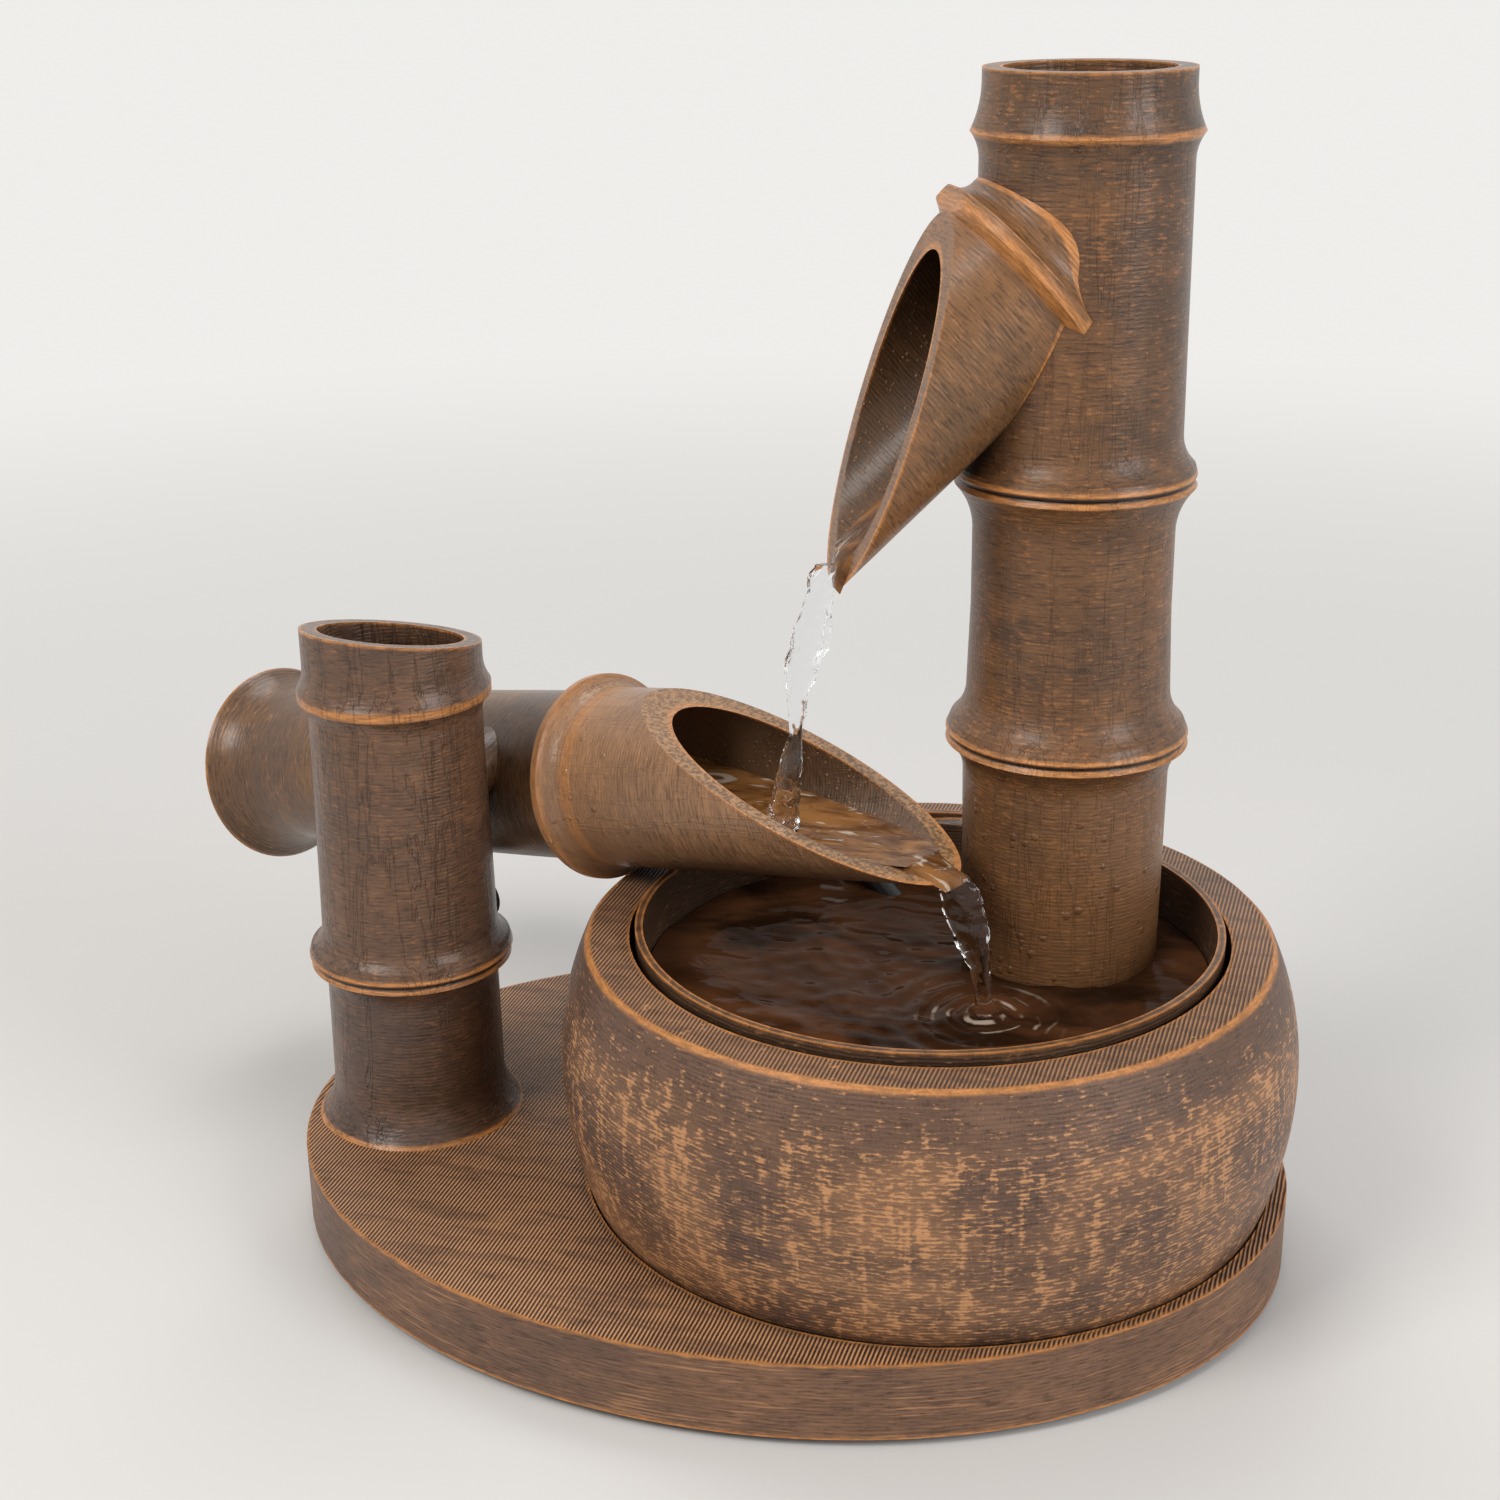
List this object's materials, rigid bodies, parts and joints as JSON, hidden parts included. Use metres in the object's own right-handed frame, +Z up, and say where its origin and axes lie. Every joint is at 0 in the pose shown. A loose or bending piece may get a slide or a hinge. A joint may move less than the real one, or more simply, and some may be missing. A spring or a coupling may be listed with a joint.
{
  "type": "shishi odoshi table fountain",
  "caption": "Table fountain: a bamboo column in a round bowl pours water through a slanted spout into a rocking bamboo tube on a post, which tips it back into the bowl; oval plate, pump lead coiled behind",
  "frame": {"origin": "on the ground under the middle of the oval plate", "axes": "+X along the plate's long axis towards the bowl, +Y to the rear where the lead leaves, +Z up"},
  "size_m": [0.2843, 0.3024, 0.2545],
  "materials": {
    "bronzed_print": "3-D printed plastic, brown wash with rubbed copper edges, wet",
    "pad_rubber": "moulded",
    "steel": "plain",
    "hose_vinyl": "clear soft vinyl, slightly cloudy",
    "pump_plastic": "moulded",
    "impeller_plastic": "moulded",
    "magnet": "sintered ferrite",
    "lead_vinyl": "satin vinyl sheath",
    "tie_fabric": "woven hook and loop",
    "plug_plastic": "moulded",
    "plug_nickel": "nickel plated",
    "bush_nylon": "moulded"
  },
  "bodies": {
    "root": {"base_pad": "pad_rubber", "base_plate": "bronzed_print", "bowl_screws": "steel", "post_screws": "steel", "outer_bowl": "bronzed_print", "inner_bowl": "bronzed_print", "rear_panel": "bronzed_print", "rear_panel_screw": "steel", "column_lower": "bronzed_print", "column_middle": "bronzed_print", "column_upper": "bronzed_print", "spout": "bronzed_print", "spout_insert": "bronzed_print", "delivery_hose": "hose_vinyl", "hose_clip": "steel", "pump_cups": "pad_rubber", "pump_strainer": "pump_plastic", "pump_cover": "pump_plastic", "pump_body": "pump_plastic", "pump_seal": "pad_rubber", "pump_shaft": "steel", "lead_gland": "pad_rubber", "pump_lead": "lead_vinyl", "lead_coil": "lead_vinyl", "lead_tie": "tie_fabric", "plug_body": "plug_plastic", "plug_barrel": "plug_nickel", "plug_core": "plug_plastic", "post_lower": "bronzed_print", "post_upper": "bronzed_print", "stop_peg": "bronzed_print", "stop_buffer": "pad_rubber", "pivot_pin": "steel", "pivot_clip": "steel", "pivot_washer": "bush_nylon"},
    "rocker": {"rocker_tail": "bronzed_print", "rocker_mouth": "bronzed_print", "rocker_bulkhead": "bronzed_print", "tail_cap": "bronzed_print", "near_bush": "bush_nylon", "far_bush": "bush_nylon"},
    "impeller": {"pump_impeller": "impeller_plastic", "pump_magnet": "magnet"}
  },
  "joints": [
    {"name": "rocker_pivot", "type": "hinge", "parent": "root", "child": "rocker", "pos_m": [-0.07019, 0.02897, 0.09652], "axis": [-0.3955, -0.9184, 0], "range_deg": [0, 14]},
    {"name": "impeller_spin", "type": "hinge", "parent": "root", "child": "impeller", "pos_m": [0.05422, 0.01794, 0.042], "axis": [0, 0, 1], "continuous": true}
  ]
}
